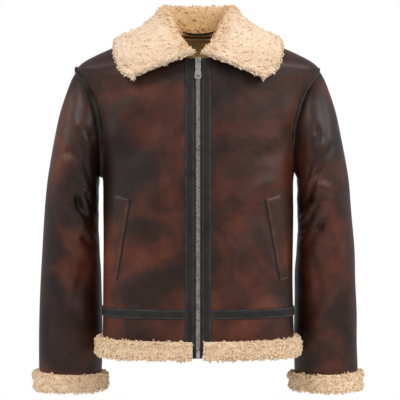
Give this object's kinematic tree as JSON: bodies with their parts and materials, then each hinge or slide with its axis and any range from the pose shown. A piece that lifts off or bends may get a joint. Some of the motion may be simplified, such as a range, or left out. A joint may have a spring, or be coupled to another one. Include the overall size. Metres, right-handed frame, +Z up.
{
  "type": "aviator jacket",
  "caption": "Brown aviator jacket with a wide fleece collar, fleece hem and cuffs, black leather trim and a zipped front, filled out as if worn.",
  "frame": {"origin": "midway between the shoulders at the level of the neck seam, where the wearer's shoulders hold the jacket up", "axes": "+Z up, the zipped front faces -Y, +X towards the wearer's left"},
  "size_m": [0.675, 0.2808, 0.7861],
  "materials": {
    "brown_leather": "mottled brown leather, semi-gloss, fleece inside",
    "black_leather": "black pebbled leather, semi-matt",
    "collar_fleece": "cream curly fleece, matt",
    "trim_fleece": "tan curly fleece, matt",
    "zip_metal": "polished nickel",
    "zip_tape": "black woven tape, matt"
  },
  "bodies": {
    "jacket": {"front_left": "brown_leather", "front_right": "brown_leather", "back": "brown_leather", "waistband": "brown_leather", "sleeve_left": "brown_leather", "sleeve_right": "brown_leather", "welt_left": "brown_leather", "welt_right": "brown_leather", "armhole_binding_left": "black_leather", "armhole_binding_right": "black_leather", "waist_strap": "black_leather", "placket_left": "black_leather", "placket_right": "black_leather", "hanger_loop": "black_leather", "collar": "collar_fleece", "hem_fleece": "trim_fleece", "cuff_fleece_left": "trim_fleece", "cuff_fleece_right": "trim_fleece", "zip_tape_left": "zip_tape", "zip_tape_right": "zip_tape", "zip_chain": "zip_metal", "zip_slider": "zip_metal", "zip_box": "zip_metal"},
    "pull_tab": {"zip_pull": "zip_metal"}
  },
  "joints": [
    {"name": "pull_tab_swing", "type": "hinge", "parent": "jacket", "child": "pull_tab", "pos_m": [0, -0.12857, -0.05717], "axis": [-1, 0, 0], "range_deg": [0, 120]}
  ]
}
